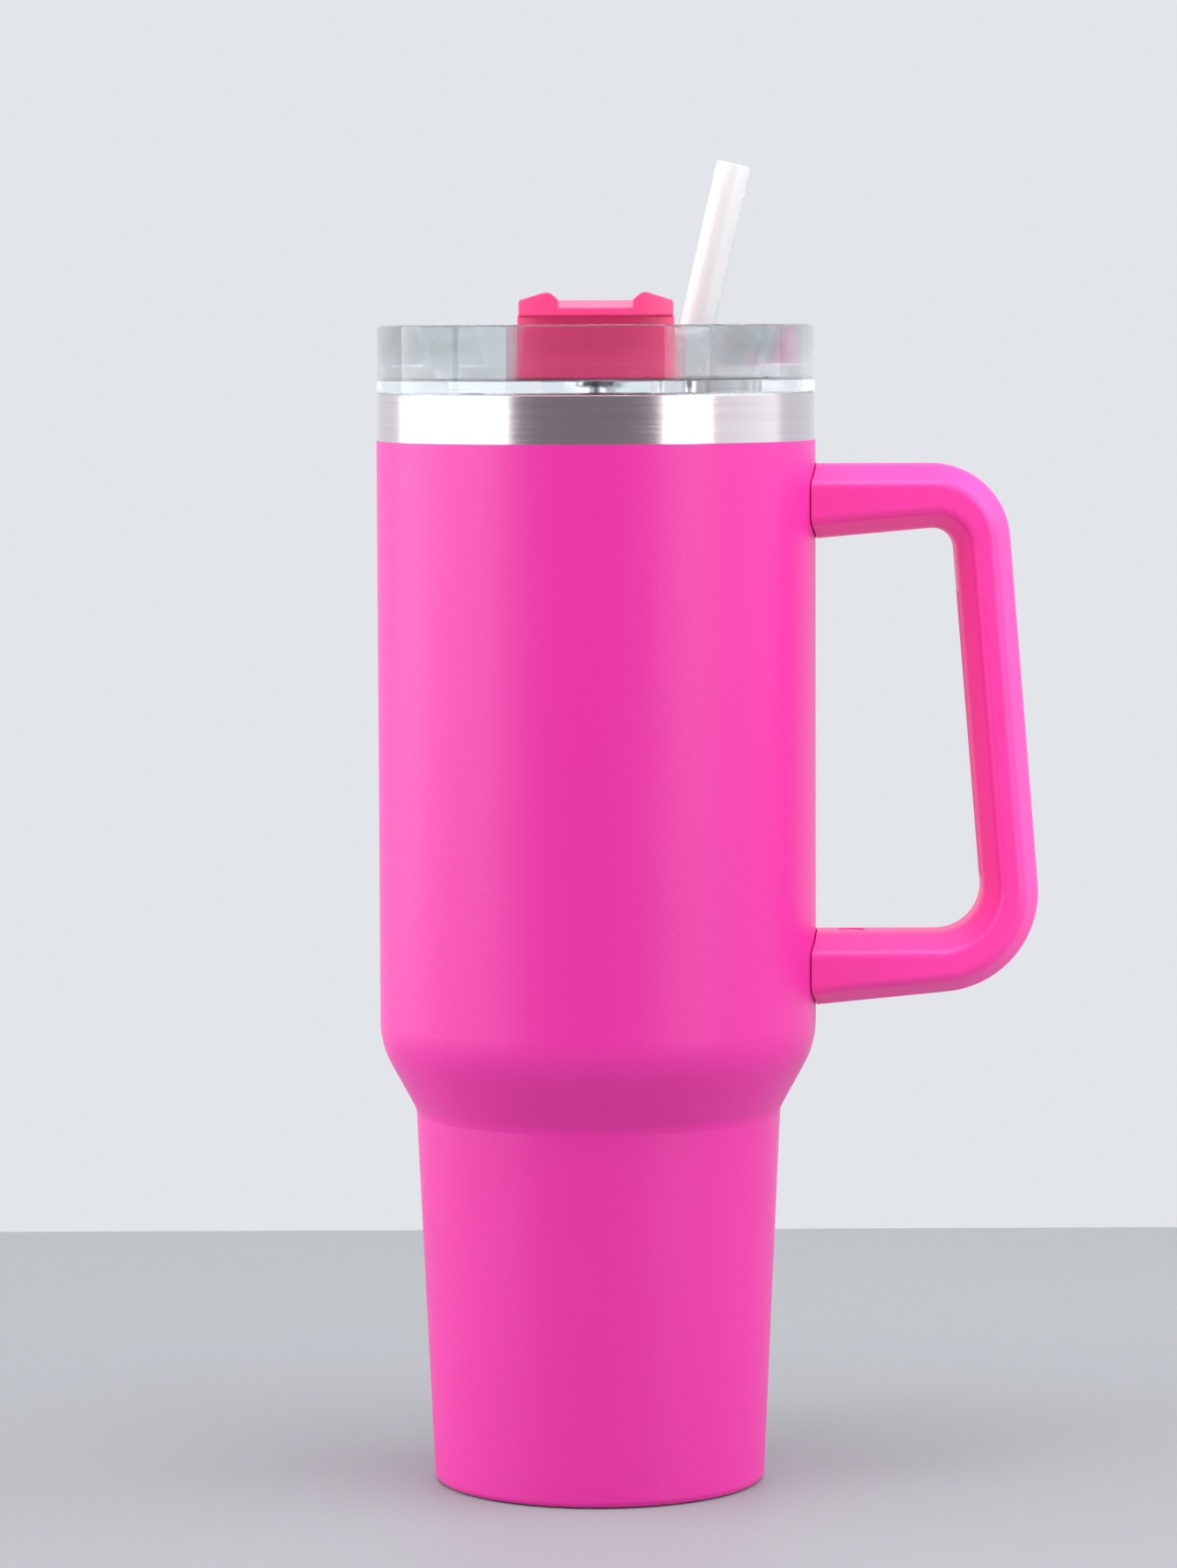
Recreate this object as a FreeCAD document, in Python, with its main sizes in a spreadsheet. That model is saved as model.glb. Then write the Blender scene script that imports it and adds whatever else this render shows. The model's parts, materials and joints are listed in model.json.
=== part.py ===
import FreeCAD, Part
import os

import Sketcher
from FreeCAD import Rotation, Vector

# A 1.2 litre insulated tumbler: double-walled steel body with a side handle, a clear push-in
# lid with a turning drink cover, and a slanted clear straw.
# Millimetres. +Z is up, +X points to the handle, -Y is the drinking side.
# The origin is the centre of the foot, on the surface that the tumbler stands on.

os.makedirs("parts", exist_ok=True)
doc = FreeCAD.newDocument("insulated_tumbler")
sheet = doc.addObject("Spreadsheet::Sheet", "Sizes")


class Size:
    """A length or angle: its value now, and the sheet formula that gives it."""

    def __init__(self, value, formula):
        self.value = value
        self.formula = formula

    def __add__(self, other):
        other = as_size(other)
        return Size(self.value + other.value, f"({self.formula} + {other.formula})")

    def __sub__(self, other):
        other = as_size(other)
        return Size(self.value - other.value, f"({self.formula} - {other.formula})")

    def __mul__(self, other):
        other = as_size(other)
        return Size(self.value * other.value, f"({self.formula} * {other.formula})")

    def __truediv__(self, other):
        other = as_size(other)
        return Size(self.value / other.value, f"({self.formula} / {other.formula})")

    def __radd__(self, other):
        return as_size(other) + self

    def __rsub__(self, other):
        return as_size(other) - self

    def __rmul__(self, other):
        return as_size(other) * self

    def __neg__(self):
        return as_size(0) - self


def as_size(number):
    return number if isinstance(number, Size) else Size(float(number), f"({number})")


def cosine(angle):
    return Size(Rotation(Vector(0, 1, 0), angle.value).multVec(Vector(0, 0, 1)).z, f"cos({angle.formula})")


def sine(angle):
    return Size(Rotation(Vector(0, 1, 0), angle.value).multVec(Vector(0, 0, 1)).x, f"sin({angle.formula})")


sheet_row = 0


def driving(name, value, meaning):
    """Write one driving size into the sheet and give it back as a Size."""
    global sheet_row
    sheet_row += 1
    sheet.set(f"A{sheet_row}", name)
    sheet.set(f"B{sheet_row}", str(value))
    sheet.set(f"C{sheet_row}", meaning)
    sheet.setAlias(f"B{sheet_row}", name)
    return Size(float(value), f"Sizes.{name}")


# ---- Driving sizes: body -----------------------------------------------------------------------
body_radius = driving("body_radius", 49.0, "painted outside of the straight upper body")
crease_radius = driving("crease_radius", 41.0, "painted outside where the foot taper meets the cone")
foot_radius = driving("foot_radius", 37.2, "painted outside at the floor")
crease_height = driving("crease_height", 84.4, "top of the foot taper")
shoulder_height = driving("shoulder_height", 99.1, "top of the cone")
rim_height = driving("rim_height", 244.9, "top of the steel rim")
bare_band = driving("bare_band", 10.6, "unpainted steel below the rim")
coat_thickness = driving("coat_thickness", 0.25, "powder coat")
coat_start = driving("coat_start", 0.4, "lower edge of the powder coat")
shell_wall = driving("shell_wall", 0.8, "outer steel wall")
vacuum_gap = driving("vacuum_gap", 2.4, "space between the two steel walls")
liner_wall = driving("liner_wall", 0.7, "inner steel wall")
liner_floor = driving("liner_floor", 8.0, "underside of the liner's floor")
liner_corner = driving("liner_corner", 5.0, "outside rounding of the liner's floor")
shoulder_round = driving("shoulder_round", 20.0, "rounding at the top of the cone")
crease_round = driving("crease_round", 4.0, "rounding of the crease")
foot_round = driving("foot_round", 1.6, "rounding of the steel foot")
foot_flange = driving("foot_flange", 4.0, "width of the turned-in foot")
rim_round = driving("rim_round", 0.3, "rounding of the liner's lip")

# ---- Driving sizes: underside ------------------------------------------------------------------
bottom_recess_radius = driving("bottom_recess_radius", 31.2, "recess that holds the base disc")
bottom_recess_depth = driving("bottom_recess_depth", 3.0, "roof of the recess above the floor")
base_disc_play = driving("base_disc_play", 0.3, "gap around the base disc")
base_disc_thickness = driving("base_disc_thickness", 0.8, "base disc's rim")
base_disc_boss = driving("base_disc_boss", 0.2, "how far the disc's raised middle stands down")
base_disc_border = driving("base_disc_border", 7.4, "flat border around the raised middle")
port_radius = driving("port_radius", 3.0, "evacuation port")
getter_radius = driving("getter_radius", 6.0, "gas getter pill")
getter_height = driving("getter_height", 1.6, "gas getter pill")
getter_offset = driving("getter_offset", 16.0, "getter's distance from the axis")
seal_cap_radius = driving("seal_cap_radius", 4.2, "head of the port's seal")

# ---- Driving sizes: handle ---------------------------------------------------------------------
handle_drop = driving("handle_drop", 5.4, "from the paint's upper edge down to the handle's top")
handle_rise = driving("handle_rise", 8.5, "from the cone's top up to the lower arm's underside")
arm_height = driving("arm_height", 16.6, "each arm's height where it meets the body")
arm_slope = driving("arm_slope", 0.09, "rise of the sloping arm faces per length outwards")
reach_top = driving("reach_top", 42.0, "handle's outside from the body, at its top")
reach_bottom = driving("reach_bottom", 51.9, "handle's outside from the body, at its bottom")
grip_thickness = driving("grip_thickness", 12.6, "grip, measured along X")
handle_depth = driving("handle_depth", 26.0, "handle's width along Y")
bevel_radial = driving("bevel_radial", 3.8, "bevel's reach into the handle's outline")
bevel_side = driving("bevel_side", 8.0, "bevel's reach along Y")
outer_corner_top = driving("outer_corner_top", 17.5, "upper outside corner")
outer_corner_bottom = driving("outer_corner_bottom", 22.5, "lower outside corner")
inner_corner_top = driving("inner_corner_top", 5.0, "upper inside corner")
inner_corner_bottom = driving("inner_corner_bottom", 10.0, "lower inside corner")
handle_gap = driving("handle_gap", 0.3, "between the arm ends and the paint")
insert_width = driving("insert_width", 8.0, "grip insert along Y")
insert_depth = driving("insert_depth", 2.0, "grip insert's depth in the grip")
insert_margin = driving("insert_margin", 12.0, "from the insert's ends to the arms")

# ---- Driving sizes: brackets and screws --------------------------------------------------------
bracket_length = driving("bracket_length", 14.0, "bracket, outwards from the body")
bracket_width = driving("bracket_width", 12.0, "bracket along Y")
bracket_height = driving("bracket_height", 6.0, "bracket along Z")
bracket_play = driving("bracket_play", 0.3, "gap between a bracket and its socket")
screw_reach = driving("screw_reach", 8.0, "screw's distance from the body's outside")
screw_radius = driving("screw_radius", 1.5, "screw's thread")
screw_head_radius = driving("screw_head_radius", 2.8, "screw's head")
screw_head_height = driving("screw_head_height", 1.8, "screw's head")
screw_play = driving("screw_play", 0.25, "gap around the screw in the plastic")
seat_wall = driving("seat_wall", 1.7, "plastic between the screw's head and the socket")
plug_height = driving("plug_height", 1.2, "plug over the screw")
plug_recess = driving("plug_recess", 0.25, "plug's face below the arm's face")
hex_radius = driving("hex_radius", 1.15, "corner radius of the hexagon socket")
hex_depth = driving("hex_depth", 1.1, "hexagon socket in the screw's head")

# ---- Driving sizes: lid ------------------------------------------------------------------------
lid_lift_gap = driving("lid_lift_gap", 0.1, "between the rim and the lid's flange")
lid_flange_height = driving("lid_flange_height", 2.9, "lid's flange")
lid_wall_set_back = driving("lid_wall_set_back", 0.25, "lid's wall inside its flange")
lid_height = driving("lid_height", 15.1, "lid's top above the rim")
lid_top_wall = driving("lid_top_wall", 1.85, "lid wall's thickness at its top")
lid_slope_width = driving("lid_slope_width", 5.4, "how far the sloping inside comes in")
lid_top_round = driving("lid_top_round", 0.74, "rounding of the lid's top edges")
lid_flange_round = driving("lid_flange_round", 0.2, "rounding of the flange's edges")
deck_height = driving("deck_height", 2.8, "deck's upper face above the rim")
deck_thickness = driving("deck_thickness", 2.5, "deck")
skirt_fit = driving("skirt_fit", 0.45, "gap between the skirt and the liner")
skirt_wall = driving("skirt_wall", 2.0, "skirt")
skirt_depth = driving("skirt_depth", 13.0, "skirt's lower edge below the rim")
seal_drop = driving("seal_drop", 7.0, "seal's middle below the rim")
seal_height = driving("seal_height", 3.0, "seal")
seal_depth = driving("seal_depth", 1.0, "seal's seat in the skirt")
seal_fit = driving("seal_fit", 0.06, "gap between the seal and the liner")
drink_slot_width = driving("drink_slot_width", 22.0, "drink slot along X")
drink_slot_depth = driving("drink_slot_depth", 9.0, "drink slot along Y")
drink_slot_reach = driving("drink_slot_reach", 32.0, "drink slot's middle from the axis")

# ---- Driving sizes: turning cover --------------------------------------------------------------
cover_play = driving("cover_play", 0.35, "gap under the cover")
cover_side_play = driving("cover_side_play", 0.6, "gap between the cover and the lid's slope")
cover_width = driving("cover_width", 34.0, "drink cover's block along X")
cover_block_depth = driving("cover_block_depth", 14.5, "drink cover's block along Y")
cover_arm_width = driving("cover_arm_width", 20.0, "arm between hub and block")
cover_arm_height = driving("cover_arm_height", 4.2, "arm and hub")
hub_radius = driving("hub_radius", 10.5, "hub")
lip_gap = driving("lip_gap", 1.85, "between the lid's top and the thumb lip")
lip_height = driving("lip_height", 3.35, "thumb lip's outer edge")
lip_reach = driving("lip_reach", 46.5, "thumb lip's outer radius")
lip_inset = driving("lip_inset", 0.3, "thumb lip's ends inside the block's sides")
ear_height = driving("ear_height", 5.35, "saddle's ears above the lip's underside")
ear_place = driving("ear_place", 10.2, "saddle's ears from the middle")
saddle_width = driving("saddle_width", 16.0, "saddle's floor")
saddle_drop = driving("saddle_drop", 1.9, "ears above the saddle's floor")
ramp_drop = driving("ramp_drop", 1.8, "fall of the thumb ramp to the front")
pad_play = driving("pad_play", 0.3, "gap under the drink pad")
pad_height = driving("pad_height", 1.8, "drink pad")
pad_margin = driving("pad_margin", 1.2, "drink pad beyond the slot")
pivot_radius = driving("pivot_radius", 3.0, "pivot pin")
pivot_fit = driving("pivot_fit", 0.05, "gap around the pin in the deck")
pivot_head_radius = driving("pivot_head_radius", 5.5, "pin's head")
pivot_head_height = driving("pivot_head_height", 1.5, "pin's head")
pivot_head_round = driving("pivot_head_round", 0.75, "rounding of the pin's head")
clip_radius = driving("clip_radius", 5.5, "snap ring on the pin")
clip_height = driving("clip_height", 0.8, "snap ring on the pin")
clip_play = driving("clip_play", 0.3, "gap between the snap ring and the deck")
ring_cord = driving("ring_cord", 0.7, "cord radius of the pin's O-ring")

# ---- Driving sizes: straw ----------------------------------------------------------------------
straw_radius = driving("straw_radius", 4.0, "straw's outside")
straw_wall = driving("straw_wall", 0.7, "straw's wall")
straw_lean = driving("straw_lean", 13.2, "straw's angle from upright, in degrees")
straw_offset = driving("straw_offset", 22.6, "straw's axis from the lid's axis, at the lid's top")
straw_above = driving("straw_above", 35.5, "straw's end above the lid's top")
straw_floor_gap = driving("straw_floor_gap", 27.5, "from the liner's floor up to the straw's end")
straw_fit = driving("straw_fit", 0.08, "gap between the straw and its grommet")
grommet_radius = driving("grommet_radius", 6.3, "grommet's waist in the deck")
grommet_flange = driving("grommet_flange", 1.2, "grommet's flanges beyond the waist")
grommet_flange_height = driving("grommet_flange_height", 1.0, "grommet's flanges")
doc.recompute()


# ---- Helpers -----------------------------------------------------------------------------------
pieces = []


def bind(item, prop, size):
    item.setExpression(prop, as_size(size).formula)


def place(item, x=0, y=0, z=0, lean=None):
    """Place an object at x, y, z, optionally leaning from +Z towards +X."""
    x, y, z = as_size(x), as_size(y), as_size(z)
    item.Placement = FreeCAD.Placement(
        Vector(x.value, y.value, z.value),
        Rotation(Vector(0, 1, 0), lean.value if lean else 0),
    )
    for letter, size in (("x", x), ("y", y), ("z", z)):
        bind(item, f"Placement.Base.{letter}", size)
    if lean:
        bind(item, "Placement.Rotation.Angle", lean)
    return item


def finish(item, name):
    """Register an object as a finished sub-part under its node name."""
    item.Label = name
    pieces.append(item)
    return item


def new_body(name):
    return doc.addObject("PartDesign::Body", name)


def plane_of(body, role):
    return next(item for item in body.Origin.OriginFeatures if item.Role == role)


def new_sketch(body, name, role, offset=None):
    """A sketch on one of the body's own origin planes, moved along its normal by offset."""
    sketch = body.newObject("Sketcher::SketchObject", name)
    sketch.AttachmentSupport = [(plane_of(body, role), "")]
    sketch.MapMode = "FlatFace"
    if offset:
        bind(sketch, "AttachmentOffset.Base.z", offset)
    return sketch


def draw_outline(sketch, points):
    """Draw a closed outline of straight lines, every corner bound to the sheet."""
    corners = [(as_size(across), as_size(up)) for across, up in points]
    flat = [Vector(across.value, up.value, 0) for across, up in corners]
    first = sketch.GeometryCount
    for start, end in zip(flat, flat[1:] + flat[:1]):
        sketch.addGeometry(Part.LineSegment(start, end))
    for index, (across, up) in enumerate(corners):
        line = first + index
        following = first + (index + 1) % len(corners)
        sketch.addConstraint(Sketcher.Constraint("Coincident", line, 2, following, 1))
        for kind, size in (("DistanceX", across), ("DistanceY", up)):
            number = sketch.addConstraint(Sketcher.Constraint(kind, line, 1, size.value))
            label = f"{kind}_{line}"
            sketch.renameConstraint(number, label)
            bind(sketch, f"Constraints.{label}", size)
    return sketch


def draw_circle(sketch, radius, across=0, up=0):
    """Draw a circle whose radius and centre are bound to the sheet."""
    radius, across, up = as_size(radius), as_size(across), as_size(up)
    circle = Part.Circle(Vector(across.value, up.value, 0), Vector(0, 0, 1), radius.value)
    number = sketch.addGeometry(circle)
    for kind, size in (("DistanceX", across), ("DistanceY", up)):
        index = sketch.addConstraint(Sketcher.Constraint(kind, number, 3, size.value))
        sketch.renameConstraint(index, f"{kind}_{number}")
        bind(sketch, f"Constraints.{kind}_{number}", size)
    index = sketch.addConstraint(Sketcher.Constraint("Radius", number, radius.value))
    sketch.renameConstraint(index, f"Radius_{number}")
    bind(sketch, f"Constraints.Radius_{number}", radius)
    return sketch


def turned(name, points):
    """A body turned about Z from an outline of (radius, height) points."""
    body = new_body(name)
    sketch = draw_outline(new_sketch(body, f"{name}_outline", "XZ_Plane"), points)
    revolution = body.newObject("PartDesign::Revolution", f"{name}_turned")
    revolution.Profile = sketch
    revolution.ReferenceAxis = (sketch, ["V_Axis"])
    revolution.Angle = 360
    doc.recompute()
    return body


def groove(body, name, points):
    """Turn a groove about Z into a body."""
    before = body.Shape.Volume
    sketch = draw_outline(new_sketch(body, f"{name}_outline", "XZ_Plane"), points)
    cut = body.newObject("PartDesign::Groove", name)
    cut.Profile = sketch
    cut.ReferenceAxis = (sketch, ["V_Axis"])
    cut.Angle = 360
    doc.recompute()
    expect_less(body, before, name)


def expect_less(body, before, name):
    if body.Shape.Volume > before - 1e-3:
        raise RuntimeError(f"{name} removed nothing")


def pad(body, sketch, length, name, middle=False):
    feature = body.newObject("PartDesign::Pad", name)
    feature.Profile = sketch
    feature.Midplane = middle
    bind(feature, "Length", length)
    doc.recompute()
    return feature


def pocket(body, sketch, length, name, middle=False, reverse=False):
    before = body.Shape.Volume
    feature = body.newObject("PartDesign::Pocket", name)
    feature.Profile = sketch
    feature.Midplane = middle
    feature.Reversed = reverse
    bind(feature, "Length", length)
    doc.recompute()
    expect_less(body, before, name)
    return feature


def ring_edges(body, spots):
    """Names of the body's circular edges about Z at the given (radius, height) spots."""
    names = []
    for radius, height in spots:
        radius, height = as_size(radius).value, as_size(height).value
        found = [
            f"Edge{number}"
            for number, edge in enumerate(body.Shape.Edges, 1)
            if isinstance(edge.Curve, Part.Circle)
            and abs(edge.Curve.Radius - radius) < 1e-3
            and abs(edge.Curve.Center.z - height) < 1e-3
        ]
        if not found:
            raise RuntimeError(f"{body.Name} has no ring at {radius:.3f}, {height:.3f}")
        names += found
    return names


def edges_where(body, test):
    """Names of the edges whose middle point passes a test."""
    names = []
    for number, edge in enumerate(body.Shape.Edges, 1):
        middle = edge.valueAt((edge.FirstParameter + edge.LastParameter) / 2)
        if test(edge, middle):
            names.append(f"Edge{number}")
    return names


def fillet(body, edge_names, radius, name):
    feature = body.newObject("PartDesign::Fillet", name)
    feature.Base = (feature.BaseFeature or body.Tip, edge_names)
    bind(feature, "Radius", radius)
    doc.recompute()
    return feature


def cylinder(name, radius, height, x=0, y=0, z=0, lean=None):
    item = doc.addObject("Part::Cylinder", name)
    bind(item, "Radius", radius)
    bind(item, "Height", height)
    return place(item, x, y, z, lean)


def box(name, size_x, size_y, size_z, x, y, z):
    """A box centred on x and y, standing on z."""
    item = doc.addObject("Part::Box", name)
    bind(item, "Length", size_x)
    bind(item, "Width", size_y)
    bind(item, "Height", size_z)
    return place(item, as_size(x) - as_size(size_x) / 2, as_size(y) - as_size(size_y) / 2, z)


def cut(name, base, *tools):
    """Cut one or more tools from a base, one Part::Cut after another."""
    for number, tool in enumerate(tools, 1):
        item = doc.addObject("Part::Cut", f"{name}_cut_{number}")
        item.Base = base
        item.Tool = tool
        base = item
    return base


def fuse(name, *shapes):
    item = doc.addObject("Part::MultiFuse", f"{name}_fused")
    item.Shapes = list(shapes)
    return item


def group(name, *shapes):
    item = doc.addObject("Part::Compound", f"{name}_group")
    item.Links = list(shapes)
    return item


# ---- The body's walls --------------------------------------------------------------------------
coat_top = rim_height - bare_band
shell_inset = coat_thickness
shell_inside = shell_inset + shell_wall
liner_outside = shell_inside + vacuum_gap
liner_inside = liner_outside + liner_wall
lip_underside = rim_height - liner_wall
mouth_radius = body_radius - liner_inside


def taper_radius(height, inset):
    """Radius of the foot's taper at a height, a wall's inset inside the paint."""
    return foot_radius + (crease_radius - foot_radius) * height / crease_height - inset


def wall_points(inset, bottom, top):
    """Corners of one wall surface, from its bottom up."""
    return [
        (taper_radius(bottom, inset), bottom),
        (crease_radius - inset, crease_height),
        (body_radius - inset, shoulder_height),
        (body_radius - inset, top),
    ]


def round_wall(body, name, inset):
    """Round the crease and the shoulder of one wall surface alike on both sides of a joint."""
    crease = ring_edges(body, [(crease_radius - inset, crease_height)])
    fillet(body, crease, crease_round + inset, f"{name}_crease")
    shoulder = ring_edges(body, [(body_radius - inset, shoulder_height)])
    fillet(body, shoulder, shoulder_round - inset, f"{name}_shoulder")


def make_outer_shell():
    foot_inner = foot_radius - foot_flange
    outside = wall_points(shell_inset, 0, lip_underside)
    inside = wall_points(shell_inside, shell_wall, lip_underside)
    points = [(foot_inner, 0)] + outside + inside[::-1] + [(foot_inner, shell_wall)]
    body = turned("outer_shell", points)
    round_wall(body, "outside", shell_inset)
    round_wall(body, "inside", shell_inside)
    foot = ring_edges(body, [(taper_radius(0, shell_inset), 0)])
    fillet(body, foot, foot_round, "outer_shell_foot")
    inner_foot = ring_edges(body, [(taper_radius(shell_wall, shell_inside), shell_wall)])
    fillet(body, inner_foot, foot_round - shell_wall, "outer_shell_inner_foot")
    finish(body, "outer_shell")


def make_inner_liner():
    inner_floor = liner_floor + liner_wall
    outside = wall_points(liner_outside, liner_floor, lip_underside)
    inside = wall_points(liner_inside, inner_floor, rim_height)
    lip = [(body_radius - shell_inset, lip_underside), (body_radius - shell_inset, rim_height)]
    body = turned("inner_liner", [(0, liner_floor)] + outside + lip + inside[::-1] + [(0, inner_floor)])
    round_wall(body, "liner_outside", liner_outside)
    round_wall(body, "liner_inside", liner_inside)
    outer_floor = ring_edges(body, [(taper_radius(liner_floor, liner_outside), liner_floor)])
    fillet(body, outer_floor, liner_corner, "liner_outer_floor")
    floor_ring = ring_edges(body, [(taper_radius(inner_floor, liner_inside), inner_floor)])
    fillet(body, floor_ring, liner_corner - liner_wall, "liner_inner_floor")
    lip_rings = ring_edges(body, [(body_radius - shell_inset, rim_height), (mouth_radius, rim_height)])
    fillet(body, lip_rings, rim_round, "liner_lip")
    finish(body, "inner_liner")


def make_powder_coat():
    below = -coat_thickness
    foot_inner = foot_radius - foot_flange
    outside = wall_points(0, below, coat_top)
    inside = wall_points(coat_thickness, 0, coat_top)
    points = [(foot_inner, below)] + outside + inside[::-1] + [(foot_inner, 0)]
    body = turned("coat_turned", points)
    round_wall(body, "coat_outside", as_size(0))
    round_wall(body, "coat_inside", coat_thickness)
    outer_foot = ring_edges(body, [(taper_radius(below, 0), below)])
    fillet(body, outer_foot, foot_round + coat_thickness, "coat_outer_foot")
    inner_foot = ring_edges(body, [(taper_radius(0, coat_thickness), 0)])
    fillet(body, inner_foot, foot_round, "coat_inner_foot")
    beyond = foot_radius + foot_flange
    ring = [(0, below * 2), (beyond, below * 2), (beyond, coat_start), (0, coat_start)]
    groove(body, "coat_lower_edge", ring)
    windows = [
        box(
            f"coat_window_{level}",
            bracket_length * 2,
            bracket_width + bracket_play * 2,
            bracket_height + bracket_play * 2,
            body_radius,
            0,
            bracket_middle(level) - bracket_height / 2 - bracket_play,
        )
        for level in ("upper", "lower")
    ]
    finish(cut("powder_coat_windows", body, *windows), "powder_coat")


# ---- The underside -----------------------------------------------------------------------------
def make_underside():
    roof = bottom_recess_depth
    top = roof + shell_wall
    seat = shell_wall
    shell_bottom = turned("shell_bottom", [
        (port_radius, roof),
        (bottom_recess_radius, roof),
        (bottom_recess_radius, seat),
        (taper_radius(foot_round, shell_inside) - foot_round, seat),
        (taper_radius(foot_round, shell_inside) - foot_round, seat + shell_wall),
        (bottom_recess_radius + shell_wall, seat + shell_wall),
        (bottom_recess_radius + shell_wall, top),
        (port_radius, top),
    ])
    finish(shell_bottom, "shell_bottom")

    seal = turned("vacuum_seal", [
        (0, roof),
        (port_radius, roof),
        (port_radius, top),
        (seal_cap_radius, top),
        (seal_cap_radius, top + shell_wall),
        (0, top + shell_wall),
    ])
    finish(seal, "vacuum_seal")

    finish(cylinder("getter", getter_radius, getter_height, x=getter_offset, z=top), "getter")

    disc_radius = bottom_recess_radius - base_disc_play
    boss_radius = disc_radius - base_disc_border
    rim = roof - base_disc_thickness
    disc = turned("base_disc", [
        (0, rim - base_disc_boss),
        (boss_radius - base_disc_thickness, rim - base_disc_boss),
        (boss_radius, rim),
        (disc_radius, rim),
        (disc_radius, roof),
        (0, roof),
    ])
    finish(disc, "base_disc")


# ---- The handle --------------------------------------------------------------------------------
handle_top = coat_top - handle_drop
handle_bottom = shoulder_height + handle_rise
lower_arm_top = handle_bottom + arm_height
upper_arm_bottom = handle_top - arm_height
grip_lean = (reach_bottom - reach_top) / (handle_top - handle_bottom)
screw_place = body_radius + screw_reach
head_start = plug_recess + plug_height
head_end = head_start + screw_head_height
screw_end = head_end + seat_wall + bracket_play + bracket_height


def grip_outside(height):
    return body_radius + reach_top + grip_lean * (handle_top - height)


def grip_inside(height):
    return grip_outside(height) - grip_thickness


def arm_face(level, x):
    """Height of the arm's loop-side face at a distance from the axis."""
    if level == "upper":
        return upper_arm_bottom + arm_slope * (as_size(x) - body_radius)
    return lower_arm_top


def loop_direction(level):
    """From an arm's inside towards the hand's gap: down from the upper arm, up from the lower."""
    return -1 if level == "upper" else 1


def stack_height(level, distance):
    """Height at a distance into an arm from its loop-side face, at the screw."""
    return arm_face(level, screw_place) - loop_direction(level) * as_size(distance)


def bracket_middle(level):
    return stack_height(level, head_end + seat_wall + bracket_play + bracket_height / 2)


def upright(name, level, radius, near, far, x):
    """A cylinder along Z between two depths into an arm, measured from its loop-side face."""
    low, high = (near, far) if level == "upper" else (far, near)
    start = stack_height(level, low)
    return cylinder(name, radius, as_size(far) - near, x=x, z=start)


def make_brackets():
    for level in ("upper", "lower"):
        name = f"{level}_bracket"
        block = box(
            f"{name}_block", bracket_length * 2, bracket_width, bracket_height,
            body_radius, 0, bracket_middle(level) - bracket_height / 2,
        )
        shell = cylinder(f"{name}_shell", body_radius - shell_inset, rim_height)
        bottom = bracket_middle(level) - bracket_height
        hole = cylinder(f"{name}_hole", screw_radius, bracket_height * 2, x=screw_place, z=bottom)
        finish(cut(name, block, shell, hole), name)


def make_handle_frame():
    root = body_radius - bevel_radial
    outer_bottom = handle_bottom + arm_slope * (reach_bottom + bevel_radial)
    inner_top = upper_arm_bottom + arm_slope * (reach_top - grip_thickness)
    body = new_body("handle_body")
    outline = draw_outline(new_sketch(body, "handle_outline", "XZ_Plane"), [
        (root, handle_top),
        (grip_outside(handle_top), handle_top),
        (grip_outside(outer_bottom), outer_bottom),
        (root, handle_bottom),
        (root, lower_arm_top),
        (grip_inside(lower_arm_top), lower_arm_top),
        (grip_inside(inner_top), inner_top),
        (root, upper_arm_bottom - arm_slope * bevel_radial),
    ])
    pad(body, outline, handle_depth, "handle_pad", middle=True)

    corners = [
        ("outer_top", grip_outside(handle_top), handle_top, outer_corner_top),
        ("outer_bottom", grip_outside(outer_bottom), outer_bottom, outer_corner_bottom),
        ("inner_bottom", grip_inside(lower_arm_top), lower_arm_top, inner_corner_bottom),
        ("inner_top", grip_inside(inner_top), inner_top, inner_corner_top),
    ]
    for name, across, up, radius in corners:
        spot = Vector(across.value, 0, up.value)
        edges = edges_where(body, lambda edge, point: point.distanceToPoint(spot) < 0.01)
        fillet(body, edges, radius, f"handle_{name}_corner")

    half = handle_depth.value / 2
    bevels = [("front", -half, bevel_side, bevel_radial), ("back", half, bevel_radial, bevel_side)]
    for name, side, first, second in bevels:
        bevel = body.newObject("PartDesign::Chamfer", f"handle_{name}_bevel")
        bevel.Base = (bevel.BaseFeature or body.Tip, edges_where(
            body, lambda edge, point: abs(point.y - side) < 1e-3 and point.x > root.value + 0.01
        ))
        bevel.ChamferType = "Two distances"
        bind(bevel, "Size", first)
        bind(bevel, "Size2", second)
        doc.recompute()

    clearance = cylinder("handle_body_room", body_radius + handle_gap, rim_height)
    tools = [clearance]
    for level in ("upper", "lower"):
        socket_height = bracket_height + bracket_play * 2
        tools.append(box(
            f"{level}_socket",
            (bracket_length + bracket_play) * 2,
            bracket_width + bracket_play * 2,
            socket_height,
            body_radius, 0, bracket_middle(level) - socket_height / 2,
        ))
        tools.append(upright(f"{level}_head_room", level, screw_head_radius + screw_play,
                             -plug_height, head_end, screw_place))
        tools.append(upright(f"{level}_screw_room", level, screw_radius + screw_play,
                             0, screw_end + screw_play, screw_place))
    insert = grip_insert_solid("handle_insert_room", insert_depth)
    finish(cut("handle_frame", body, *tools, insert), "handle_frame")


def grip_insert_solid(name, depth):
    """The strip let into the grip's inner face, leaning with it."""
    body = new_body(name)
    top = upper_arm_bottom - insert_margin
    bottom = lower_arm_top + insert_margin
    outline = draw_outline(new_sketch(body, f"{name}_outline", "XZ_Plane"), [
        (grip_inside(bottom), bottom),
        (grip_inside(bottom) + depth, bottom),
        (grip_inside(top) + depth, top),
        (grip_inside(top), top),
    ])
    pad(body, outline, insert_width, f"{name}_pad", middle=True)
    return body


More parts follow.
